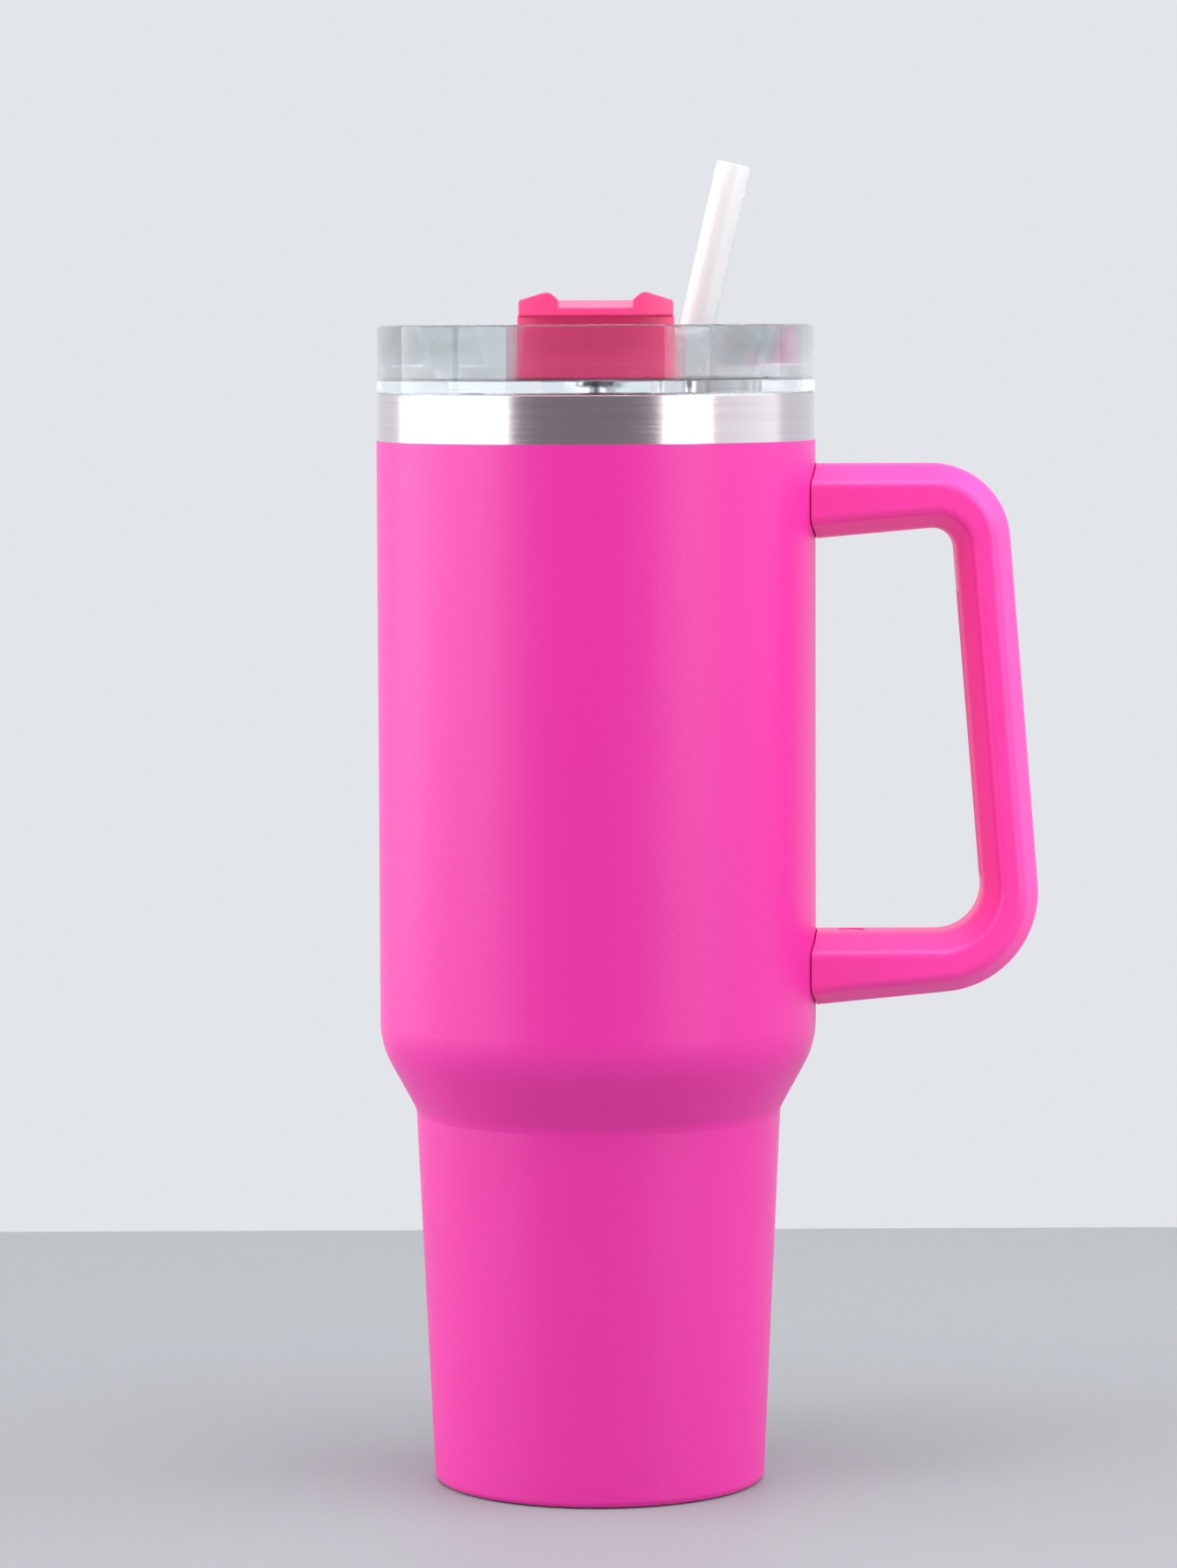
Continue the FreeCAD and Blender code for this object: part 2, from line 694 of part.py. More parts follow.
def make_handle_fittings():
    finish(grip_insert_solid("grip_insert", insert_depth), "grip_insert")
    screws = []
    plugs = []
    for level in ("upper", "lower"):
        head = upright(f"{level}_screw_head", level, screw_head_radius, head_start, head_end, screw_place)
        shank = upright(f"{level}_screw_shank", level, screw_radius, head_end, screw_end, screw_place)
        drive = doc.addObject("Part::Prism", f"{level}_screw_drive")
        drive.Polygon = 6
        bind(drive, "Circumradius", hex_radius)
        bind(drive, "Height", hex_depth)
        low = head_start if level == "upper" else head_start + hex_depth
        place(drive, x=screw_place, z=stack_height(level, low))
        screws.append(cut(f"{level}_screw", fuse(f"{level}_screw", head, shank), drive))
        plugs.append(upright(f"{level}_plug", level, screw_head_radius + screw_play,
                             plug_recess, head_start, screw_place))
    finish(group("handle_screws", *screws), "handle_screws")
    finish(group("screw_plugs", *plugs), "screw_plugs")


# ---- The lid -----------------------------------------------------------------------------------
flange_bottom = rim_height + lid_lift_gap
flange_top = flange_bottom + lid_flange_height
lid_top = rim_height + lid_height
lid_radius = body_radius - lid_wall_set_back
recess_top_radius = lid_radius - lid_top_wall
recess_radius = recess_top_radius - lid_slope_width
deck_top = rim_height + deck_height
deck_bottom = deck_top - deck_thickness
skirt_outside = mouth_radius - skirt_fit
skirt_inside = skirt_outside - skirt_wall
skirt_bottom = rim_height - skirt_depth
seal_middle = rim_height - seal_drop
seal_inside = skirt_outside - seal_depth
seal_top = seal_middle + seal_height / 2
seal_bottom = seal_middle - seal_height / 2
ring_inside = pivot_radius + pivot_fit
ring_outside = ring_inside + ring_cord * 2
ring_seat_floor = deck_top - ring_cord * 2 - pivot_fit


def straw_point(height):
    """Distance from the lid's axis to the straw's axis at a height, on the handle's side."""
    return straw_offset + (height - lid_top) * sine(straw_lean) / cosine(straw_lean)


grommet_place = straw_point(deck_top - deck_thickness / 2)


def straw_bore(name, radius):
    """A slanted cylinder around the straw's line, through the whole lid."""
    start = deck_bottom - skirt_depth
    return cylinder(name, radius, lid_height * 3, x=straw_point(start), z=start, lean=straw_lean)


def deck_hole(name, radius, x=0):
    """A cutting cylinder through the deck, longer by the deck's thickness on either side."""
    return cylinder(name, radius, deck_thickness * 3, x=x, z=deck_bottom - deck_thickness)


def make_lid_body():
    body = turned("lid_turned", [
        (0, deck_bottom),
        (skirt_inside, deck_bottom),
        (skirt_inside, skirt_bottom),
        (skirt_outside, skirt_bottom),
        (skirt_outside, flange_bottom),
        (body_radius, flange_bottom),
        (body_radius, flange_top),
        (lid_radius, flange_top),
        (lid_radius, lid_top),
        (recess_top_radius, lid_top),
        (recess_radius, deck_top),
        (0, deck_top),
    ])
    groove(body, "lid_seal_seat", [
        (seal_inside, seal_bottom),
        (mouth_radius, seal_bottom),
        (mouth_radius, seal_top),
        (seal_inside, seal_top),
    ])
    top_rings = ring_edges(body, [(lid_radius, lid_top), (recess_top_radius, lid_top)])
    fillet(body, top_rings, lid_top_round, "lid_top_rounding")
    flange_rings = ring_edges(body, [(body_radius, flange_bottom), (body_radius, flange_top)])
    fillet(body, flange_rings, lid_flange_round, "lid_flange_rounding")
    slot = box("drink_slot", drink_slot_width, drink_slot_depth, deck_thickness * 3,
               0, -drink_slot_reach, deck_bottom - deck_thickness)
    straw_hole = deck_hole("grommet_hole", grommet_radius, grommet_place)
    pivot_hole = deck_hole("pivot_hole", pivot_radius + pivot_fit)
    ring_seat = cylinder("pivot_ring_seat", ring_outside + pivot_fit, deck_thickness, z=ring_seat_floor)
    finish(cut("lid_body", body, slot, straw_hole, pivot_hole, ring_seat), "lid_body")


def make_lid_seals():
    seal = turned("lid_seal", [
        (seal_inside, seal_bottom),
        (skirt_outside, seal_bottom),
        (mouth_radius - seal_fit, seal_middle),
        (skirt_outside, seal_top),
        (seal_inside, seal_top),
    ])
    finish(seal, "lid_seal")

    waist = cylinder("grommet_waist", grommet_radius, deck_thickness, x=grommet_place, z=deck_bottom)
    flange = grommet_radius + grommet_flange
    upper = cylinder("grommet_upper", flange, grommet_flange_height, x=grommet_place, z=deck_top)
    lower = cylinder("grommet_lower", flange, grommet_flange_height,
                     x=grommet_place, z=deck_bottom - grommet_flange_height)
    bore = straw_bore("grommet_bore", straw_radius + straw_fit)
    solid = fuse("grommet", waist, upper, lower)
    finish(cut("straw_grommet", solid, bore), "straw_grommet")


# ---- The turning cover -------------------------------------------------------------------------
cover_bottom = deck_top + cover_play
hub_top = cover_bottom + cover_arm_height
block_reach = recess_radius - cover_side_play
block_back = block_reach - cover_block_depth
lip_bottom = lid_top + lip_gap
lip_width = cover_width - lip_inset * 2
ear_top = lip_bottom + ear_height
saddle_floor = ear_top - saddle_drop
pad_bottom = deck_top + pad_play
pad_top = pad_bottom + pad_height
pad_width = drink_slot_width + pad_margin * 2
pad_length = drink_slot_depth + pad_margin * 2
beyond_lid = body_radius * 1.5


def make_rotating_cover():
    body = new_body("cover_body")
    hub = draw_circle(new_sketch(body, "hub_outline", "XY_Plane", cover_bottom), hub_radius)
    pad(body, hub, cover_arm_height, "hub_pad")
    arm = draw_outline(new_sketch(body, "arm_outline", "XY_Plane", cover_bottom), [
        (-cover_arm_width / 2, 0),
        (-cover_arm_width / 2, -block_reach + cover_side_play),
        (cover_arm_width / 2, -block_reach + cover_side_play),
        (cover_arm_width / 2, 0),
    ])
    pad(body, arm, cover_arm_height, "arm_pad")
    block = draw_outline(new_sketch(body, "block_outline", "XY_Plane", cover_bottom), [
        (-cover_width / 2, -block_back),
        (-cover_width / 2, -body_radius),
        (cover_width / 2, -body_radius),
        (cover_width / 2, -block_back),
    ])
    pad(body, block, lip_bottom - cover_bottom, "block_pad")
    groove(body, "block_front", [
        (block_reach, cover_bottom - cover_play),
        (beyond_lid, cover_bottom - cover_play),
        (beyond_lid, lip_bottom + cover_play),
        (block_reach, lip_bottom + cover_play),
    ])
    saddle = draw_outline(new_sketch(body, "saddle_outline", "XZ_Plane", block_back), [
        (-lip_width / 2, lip_bottom),
        (lip_width / 2, lip_bottom),
        (lip_width / 2, lip_bottom + lip_height),
        (ear_place, ear_top),
        (saddle_width / 2, saddle_floor),
        (-saddle_width / 2, saddle_floor),
        (-ear_place, ear_top),
        (-lip_width / 2, lip_bottom + lip_height),
    ])
    pad(body, saddle, body_radius - block_back, "saddle_pad")
    groove(body, "lip_front", [
        (lip_reach, lip_bottom - lip_gap / 2),
        (beyond_lid, lip_bottom - lip_gap / 2),
        (beyond_lid, ear_top + lip_gap),
        (lip_reach, ear_top + lip_gap),
    ])
    ramp = draw_outline(new_sketch(body, "ramp_outline", "YZ_Plane"), [
        (-lip_reach - lip_gap, saddle_floor - ramp_drop),
        (-block_back - lip_gap, saddle_floor),
        (-block_back - lip_gap, saddle_floor + ramp_drop),
        (-lip_reach - lip_gap, saddle_floor + ramp_drop),
    ])
    pocket(body, ramp, saddle_width, "thumb_ramp", middle=True)
    pivot = cylinder("cover_pivot_bore", pivot_radius, cover_arm_height * 3, z=deck_bottom)
    pad_seat = box("drink_pad_seat", pad_width, pad_length, pad_height + cover_play,
                   0, -drink_slot_reach, pad_top - pad_height - cover_play)
    finish(cut("rotating_cover", body, pivot, pad_seat), "rotating_cover")


def make_cover_fittings():
    drink_pad = box("drink_pad", pad_width, pad_length, pad_height, 0, -drink_slot_reach, pad_bottom)
    finish(drink_pad, "drink_pad")
    clip_top = deck_bottom - clip_play
    clip_bottom = clip_top - clip_height
    pin = turned("pivot_pin", [
        (0, clip_bottom - clip_height),
        (pivot_radius, clip_bottom - clip_height),
        (pivot_radius, hub_top),
        (pivot_head_radius, hub_top),
        (pivot_head_radius, hub_top + pivot_head_height),
        (0, hub_top + pivot_head_height),
    ])
    head_ring = ring_edges(pin, [(pivot_head_radius, hub_top + pivot_head_height)])
    fillet(pin, head_ring, pivot_head_round, "pivot_head_rounding")
    finish(pin, "pivot_pin")

    clip_blank = cylinder("clip_blank", clip_radius, clip_height, z=clip_bottom)
    clip_bore = cylinder("clip_bore", pivot_radius, clip_height * 3, z=clip_bottom - clip_height)
    mouth = box("clip_mouth", pivot_radius, clip_radius * 2, clip_height * 3,
                0, clip_radius, clip_bottom - clip_height)
    finish(cut("pivot_clip", clip_blank, clip_bore, mouth), "pivot_clip")

    ring = doc.addObject("Part::Torus", "pivot_oring_torus")
    bind(ring, "Radius1", ring_inside + ring_cord)
    bind(ring, "Radius2", ring_cord)
    place(ring, z=ring_seat_floor + ring_cord + pivot_fit / 2)
    finish(ring, "pivot_oring")


# ---- The straw ---------------------------------------------------------------------------------
def make_straw():
    foot = liner_floor + liner_wall + straw_floor_gap
    length = straw_above / cosine(straw_lean) + (lid_top - foot) / cosine(straw_lean)
    outside = cylinder("straw_outside", straw_radius, length, x=straw_point(foot), z=foot, lean=straw_lean)
    bore = straw_bore_through(foot, length)
    finish(cut("straw", outside, bore), "straw")


def straw_bore_through(foot, length):
    """The straw's bore, longer than the straw at both ends."""
    start = foot - straw_radius
    return cylinder("straw_bore", straw_radius - straw_wall, length + straw_radius * 4,
                    x=straw_point(start), z=start, lean=straw_lean)


# ---- Build, check and write --------------------------------------------------------------------
make_outer_shell()
make_inner_liner()
make_powder_coat()
make_underside()
make_brackets()
make_handle_frame()
make_handle_fittings()
make_lid_body()
make_lid_seals()
make_rotating_cover()
make_cover_fittings()
make_straw()
doc.recompute()

for item in doc.Objects:
    if {"Invalid", "Error"} & set(item.State):
        raise RuntimeError(f"{item.Label} failed: {item.State}")
for piece in pieces:
    if piece.Shape.isNull() or not piece.Shape.isValid():
        raise RuntimeError(f"{piece.Label} has no valid shape")
    piece.Shape.exportStep(f"parts/{piece.Label}.step")
    span = piece.Shape.BoundBox
    print(f"{piece.Label}: {len(piece.Shape.Solids)} solid, {piece.Shape.Volume:.0f} mm3, "
          f"z {span.ZMin:.2f} to {span.ZMax:.2f}, x {span.XMin:.2f} to {span.XMax:.2f}")
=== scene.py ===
import json
import math

import bpy
from mathutils import Euler, Matrix, Vector


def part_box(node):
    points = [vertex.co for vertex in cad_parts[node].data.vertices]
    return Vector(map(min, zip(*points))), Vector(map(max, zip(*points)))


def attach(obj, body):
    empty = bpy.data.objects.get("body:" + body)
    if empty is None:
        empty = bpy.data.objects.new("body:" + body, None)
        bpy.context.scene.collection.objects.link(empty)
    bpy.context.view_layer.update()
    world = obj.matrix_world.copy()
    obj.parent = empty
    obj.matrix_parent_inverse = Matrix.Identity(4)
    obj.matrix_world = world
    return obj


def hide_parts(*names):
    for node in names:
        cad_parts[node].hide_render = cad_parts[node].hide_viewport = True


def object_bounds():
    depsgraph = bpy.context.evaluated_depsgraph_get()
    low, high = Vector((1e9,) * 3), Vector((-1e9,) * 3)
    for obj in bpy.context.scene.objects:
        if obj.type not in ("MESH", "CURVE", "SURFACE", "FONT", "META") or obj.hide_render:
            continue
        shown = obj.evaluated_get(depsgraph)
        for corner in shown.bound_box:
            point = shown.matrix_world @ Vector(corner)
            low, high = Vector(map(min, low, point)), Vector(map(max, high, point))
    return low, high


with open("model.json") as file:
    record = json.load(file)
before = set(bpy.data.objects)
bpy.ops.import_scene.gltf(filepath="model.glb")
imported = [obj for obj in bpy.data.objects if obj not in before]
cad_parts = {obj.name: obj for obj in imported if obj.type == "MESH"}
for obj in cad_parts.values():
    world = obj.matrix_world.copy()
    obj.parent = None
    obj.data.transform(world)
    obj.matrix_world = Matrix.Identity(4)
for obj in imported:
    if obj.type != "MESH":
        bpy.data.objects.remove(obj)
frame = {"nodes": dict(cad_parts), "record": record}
cad_low, cad_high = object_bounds()
nodes = frame["nodes"]

MM = 0.001


# ---- Material graphs -----------------------------------------------------------------------------
class Wire:
    """An output socket of a material, with arithmetic that adds Math nodes."""

    def __init__(self, finish, socket):
        self.finish = finish
        self.socket = socket

    def math(self, operation, *values):
        settings = {"operation": operation}
        return self.finish.node("ShaderNodeMath", settings, dict(enumerate(values)))

    def __add__(self, other):
        return self.math("ADD", self, other)

    def __sub__(self, other):
        return self.math("SUBTRACT", self, other)

    def __mul__(self, other):
        return self.math("MULTIPLY", self, other)

    def __radd__(self, other):
        return self.math("ADD", other, self)

    def __rsub__(self, other):
        return self.math("SUBTRACT", other, self)

    def __rmul__(self, other):
        return self.math("MULTIPLY", other, self)


class Finish:
    """A procedural material built around one Principled shader."""

    def __init__(self, name, **constants):
        self.material = bpy.data.materials.new(name)
        self.material.use_nodes = True
        self.tree = self.material.node_tree
        self.shader = self.tree.nodes["Principled BSDF"]
        for socket, value in constants.items():
            self.shader.inputs[socket.replace("_", " ")].default_value = value

    def node(self, kind, settings, sockets, output=0):
        """Add a node: its settings first, then its sockets' values or links."""
        item = self.tree.nodes.new(kind)
        for name, value in settings.items():
            setattr(item, name, value)
        for name, value in sockets.items():
            if isinstance(value, Wire):
                self.tree.links.new(value.socket, item.inputs[name])
            else:
                item.inputs[name].default_value = value
        return Wire(self, item.outputs[output])

    def place(self, scale=(1, 1, 1)):
        """Object coordinates in metres, scaled along each axis."""
        coordinates = self.node("ShaderNodeTexCoord", {}, {}, "Object")
        return self.node("ShaderNodeMapping", {}, {"Vector": coordinates, "Scale": scale})

    def noise(self, where, scale, detail=2.0, roughness=0.5):
        sockets = {"Vector": where, "Scale": scale, "Detail": detail, "Roughness": roughness}
        return self.node("ShaderNodeTexNoise", {}, sockets, "Fac")

    def mix(self, factor, first, second):
        """Mix two colours."""
        sockets = {0: factor, 6: first, 7: second}
        return self.node("ShaderNodeMix", {"data_type": "RGBA"}, sockets, 2)

    def bump(self, height, distance, strength=1.0):
        sockets = {"Height": height, "Distance": distance, "Strength": strength}
        self.feed("Normal", self.node("ShaderNodeBump", {}, sockets))

    def feed(self, socket, wire):
        self.tree.links.new(wire.socket, self.shader.inputs[socket])


def shape_ramp(ramp, stops):
    """Set a ramp's stops from (position, colour) pairs."""
    while len(ramp.elements) < len(stops):
        ramp.elements.new(1.0)
    for element, (position, colour) in zip(ramp.elements, stops):
        element.position = position
        element.color = colour


def linear(red, green, blue):
    """Screen values from 0 to 255 as a linear colour."""
    def channel(value):
        value = value / 255
        return value / 12.92 if value <= 0.04045 else ((value + 0.055) / 1.055) ** 2.4
    return (channel(red), channel(green), channel(blue), 1.0)


def powder_coat():
    """Satin paint with a fine orange peel."""
    finish = Finish("pink_powder_coat", Specular_IOR_Level=0.42, Coat_Roughness=0.3)
    where = finish.place()
    peel = finish.noise(where, 900.0, 3.0)
    grain = finish.noise(where, 3200.0, 2.0)
    cloud = finish.noise(where, 25.0, 2.0)
    light, deep = linear(230, 46, 162), linear(224, 43, 157)
    finish.feed("Base Color", finish.mix(cloud, light, deep))
    finish.feed("Roughness", 0.34 + 0.12 * peel)
    finish.bump(peel * 0.7 + grain * 0.3, 0.00006)
    return finish.material


def brushed_steel():
    """Steel brushed around the body's axis."""
    finish = Finish("brushed_steel", Metallic=1.0, Anisotropic=0.5)
    streaks = finish.noise(finish.place((14, 14, 5200)), 1.0, 3.0, 0.65)
    broad = finish.noise(finish.place((9, 9, 700)), 1.0, 2.0)
    finish.feed("Base Color", finish.mix(broad, linear(200, 193, 199), linear(214, 208, 213)))
    finish.feed("Roughness", 0.1 + 0.14 * streaks)
    finish.bump(streaks, 0.00001, 0.6)
    return finish.material


def clear_plastic(name, tint, painted_edge_shade, roughness, clearness, transmission=1.0):
    """Clear plastic with faint handling marks, denser where it is seen edge on, and darkened there
    by painted shade that stands in for the dark lines refraction draws at its edges.

    A transmission under 1 makes it milky.
    """
    finish = Finish(name, IOR=1.49, Transmission_Weight=transmission)
    where = finish.place()
    wear = finish.noise(where, 60.0, 4.0)
    scratches = finish.noise(finish.place((400, 400, 3000)), 1.0, 3.0, 0.6)
    edge = finish.node("ShaderNodeLayerWeight", {}, {"Blend": 0.3}, "Facing")
    # Painted shade: towards edge on, the colour turns to the darker second tint, standing in for
    # the dark refraction lines at the plastic's edges.
    finish.feed("Base Color", finish.mix(edge * edge, tint, painted_edge_shade))
    finish.feed("Alpha", 1.0 - clearness * (1.0 - edge))
    finish.feed("Roughness", roughness + 0.02 * wear)
    finish.bump(scratches, 0.000004)
    return finish.material


def pink_plastic(name, light, deep, roughness):
    """Moulded plastic or rubber with a fine grain."""
    finish = Finish(name, Specular_IOR_Level=0.5)
    where = finish.place()
    cloud = finish.noise(where, 40.0, 2.0)
    grain = finish.noise(where, 2200.0, 2.0)
    finish.feed("Base Color", finish.mix(cloud, light, deep))
    finish.feed("Roughness", roughness + 0.08 * grain)
    finish.bump(grain, 0.00003)
    return finish.material


def silicone():
    """Translucent silicone, matt all over."""
    tint = linear(226, 228, 232)
    finish = Finish("clear_silicone", IOR=1.41, Transmission_Weight=0.55, Base_Color=tint)
    finish.feed("Roughness", 0.42 + 0.1 * finish.noise(finish.place(), 1500.0))
    return finish.material


def dull_metal():
    """Grainy sintered metal."""
    finish = Finish("getter_alloy", Metallic=0.8)
    grain = finish.noise(finish.place(), 1800.0, 3.0)
    finish.feed("Base Color", finish.mix(grain, linear(110, 110, 112), linear(150, 150, 152)))
    finish.feed("Roughness", 0.5 + 0.2 * grain)
    return finish.material


FINISHES = {
    "pink_powder_coat": powder_coat(),
    "brushed_steel": brushed_steel(),
    "handle_plastic": pink_plastic(
        "handle_plastic", linear(255, 62, 172), linear(252, 56, 166), 0.36),
    "grip_rubber": pink_plastic(
        "grip_rubber", linear(246, 52, 158), linear(240, 48, 152), 0.5),
    # The lid's darker cyan-grey second colour is painted shade for its edge-on refraction lines.
    "clear_plastic": clear_plastic(
        "clear_plastic", linear(241, 251, 254), linear(150, 176, 182), 0.015, 0.36),
    "cover_plastic": pink_plastic(
        "cover_plastic", linear(255, 68, 134), linear(255, 62, 128), 0.3),
    "clear_silicone": silicone(),
    "getter_alloy": dull_metal(),
}

# The straw's darker grey second colour is painted shade for its edge-on refraction lines.
STRAW_FINISH = clear_plastic(
    "straw_plastic", linear(252, 253, 253), linear(128, 134, 137), 0.22, 0.3, 0.45)

for subpart in frame["record"]["subparts"]:
    mesh = nodes[subpart["node"]].data
    mesh.materials.clear()
    mesh.materials.append(FINISHES[subpart["material_slot"]])


# ---- Modelling helpers ---------------------------------------------------------------------------
SMOOTH_ANGLE = math.radians(30)
MERGE_DISTANCE = 1e-6
CORNER_DENSITY = 2.5  # steps per radian of a 1 mm corner


def only(piece):
    """Select one object and make it the active one."""
    bpy.ops.object.select_all(action="DESELECT")
    piece.select_set(True)
    bpy.context.view_layer.objects.active = piece


def edit(piece):
    """Start editing a piece with nothing selected."""
    only(piece)
    bpy.ops.object.mode_set(mode="EDIT")
    bpy.ops.mesh.select_mode(type="VERT")
    bpy.ops.mesh.select_all(action="DESELECT")


def select(kind, test):
    """In edit mode, select the vertices, edges or faces that pass a test."""
    bpy.ops.mesh.select_mode(type=kind)
    bpy.ops.mesh.select_all(action="DESELECT")
    bpy.ops.object.mode_set(mode="OBJECT")
    mesh = bpy.context.object.data
    items = {"VERT": mesh.vertices, "EDGE": mesh.edges, "FACE": mesh.polygons}[kind]
    for item in items:
        if test(mesh, item):
            item.select = True
    bpy.ops.object.mode_set(mode="EDIT")


def settle():
    """In edit mode, merge doubles, turn all faces outwards and leave."""
    bpy.ops.mesh.select_all(action="SELECT")
    bpy.ops.mesh.remove_doubles(threshold=MERGE_DISTANCE)
    bpy.ops.mesh.normals_make_consistent(inside=False)
    bpy.ops.object.mode_set(mode="OBJECT")


def drawn(name, points):
    """A flat filled outline: one point is drawn out along it, corner by corner. Points in mm."""
    spots = [Vector(point) * MM for point in points]
    bpy.ops.object.select_all(action="DESELECT")
    bpy.ops.mesh.primitive_plane_add(size=MM)
    piece = bpy.context.object
    piece.name = name
    edit(piece)
    bpy.ops.mesh.select_all(action="SELECT")
    bpy.ops.mesh.merge(type="CENTER")
    bpy.ops.transform.translate(value=spots[0])
    for start, end in zip(spots, spots[1:]):
        bpy.ops.mesh.extrude_vertices_move(TRANSFORM_OT_translate={"value": end - start})
    bpy.ops.mesh.select_all(action="SELECT")
    bpy.ops.mesh.edge_face_add()
    return piece


def spun(name, points, steps=160):
    """Spin an outline of (radius, height) points, in mm, into a closed ring about Z."""
    piece = drawn(name, [(radius, 0, height) for radius, height in points])
    bpy.ops.mesh.delete(type="ONLY_FACE")
    bpy.ops.mesh.select_all(action="SELECT")
    bpy.ops.mesh.spin(steps=steps, angle=math.tau, center=(0, 0, 0), axis=(0, 0, 1))
    settle()
    return piece


def arc_corner(before, corner, after, radius):
    """The points of a rounded corner of an outline in a plane."""
    corner, before, after = Vector(corner), Vector(before), Vector(after)
    to_before, to_after = (before - corner).normalized(), (after - corner).normalized()
    half = to_before.angle(to_after) / 2
    centre = corner + (to_before + to_after).normalized() * radius / math.sin(half)
    first = corner + to_before * radius / math.tan(half) - centre
    last = corner + to_after * radius / math.tan(half) - centre
    sweep = math.pi - 2 * half
    steps = max(3, round(sweep * math.sqrt(radius) * CORNER_DENSITY))
    points = []
    for step in range(steps + 1):
        along = sweep * step / steps
        spot = (first * math.sin(sweep - along) + last * math.sin(along)) / math.sin(sweep)
        points.append(tuple(centre + spot))
    return points


def rounded(corners):
    """An outline from (x, y, radius) corners, each rounded by its own radius."""
    points = []
    for index, (across, up, radius) in enumerate(corners):
        before, after = corners[index - 1], corners[(index + 1) % len(corners)]
        if radius:
            points += arc_corner(before[:2], (across, up), after[:2], radius)
        else:
            points.append((across, up))
    return points


def modify(piece, kind, **settings):
    """Put a modifier on a piece and apply it."""
    only(piece)
    modifier = piece.modifiers.new(kind.lower(), kind)
    for name, value in settings.items():
        setattr(modifier, name, value)
    bpy.ops.object.modifier_apply(modifier=modifier.name)


def carve(piece, *cutters):
    """Cut each cutter out of a piece, and remove the cutter."""
    for cutter in cutters:
        modify(piece, "BOOLEAN", operation="DIFFERENCE", object=cutter, solver="EXACT")
        bpy.data.objects.remove(cutter)


def round_bar(radius, low, high, x=0.0, sides=96):
    """A cutting cylinder along Z, in mm."""
    bpy.ops.object.select_all(action="DESELECT")
    bpy.ops.mesh.primitive_cylinder_add(
        vertices=sides, radius=radius * MM, depth=(high - low) * MM,
        location=(x * MM, 0, (low + high) / 2 * MM),
    )
    return bpy.context.object


def block(low, high):
    """A cutting block between two corners, in mm."""
    low, high = Vector(low) * MM, Vector(high) * MM
    bpy.ops.object.select_all(action="DESELECT")
    bpy.ops.mesh.primitive_cube_add(size=1, location=(low + high) / 2, scale=high - low)
    return bpy.context.object


def complete(piece, name, node, body, slot, finish=None):
    """Name a finished piece, put it in its CAD node's place and give it its finish."""
    only(piece)
    bpy.ops.object.shade_smooth_by_angle(angle=SMOOTH_ANGLE)
    modify(piece, "WEIGHTED_NORMAL", keep_sharp=True)
    piece.name = name
    piece.data.name = name
    piece.data.materials.clear()
    piece.data.materials.append(finish or FINISHES[slot])
    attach(piece, body)
    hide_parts(node)


def corners_mm(node):
    """A CAD node's lowest and highest corners, in mm."""
    low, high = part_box(node)
    return low / MM, high / MM


# ---- The handle, in mm ---------------------------------------------------------------------------
BODY_RADIUS = 49.0
HANDLE_GAP = 0.3
SOCKET_PLAY = 0.3
BEVEL_IN = 3.8
BEVEL_ALONG = 8.0
ROOT = 36.0  # where the arms start, inside the body, before they are cut to it
ARM_SLOPE = 0.09
ARM_HEIGHT = 16.6
LOWER_ARM_UNDERSIDE = 107.6
OUTSIDE_TOP, OUTSIDE_TOP_ROUND = 91.0, 17.5
OUTSIDE_BOTTOM, OUTSIDE_BOTTOM_ROUND = (100.49, 112.61), 22.5
INSIDE_BOTTOM, INSIDE_BOTTOM_ROUND = 86.95, 10.0
INSIDE_TOP, INSIDE_TOP_ROUND = 79.54, 5.0
INSIDE_TOP_REACH = 29.4  # over which the upper arm's underside rises
CREASE_ROUND = 1.6
UPPER_PLUG_DEPTH = 4.2
LOWER_PLUG_DEPTH = 3.3
BEYOND = 2.0  # how far a cutter stands out of what it cuts


def is_crease(mesh, edge, middle, side):
    """True for an edge that runs round the handle at its middle band or its flat sides."""
    ends = [mesh.vertices[index].co.y / MM for index in edge.vertices]
    if abs(ends[0] - ends[1]) > 0.01:
        return False
    place = abs(ends[0])
    return abs(place - middle) < 0.01 or abs(place - side) < 0.01


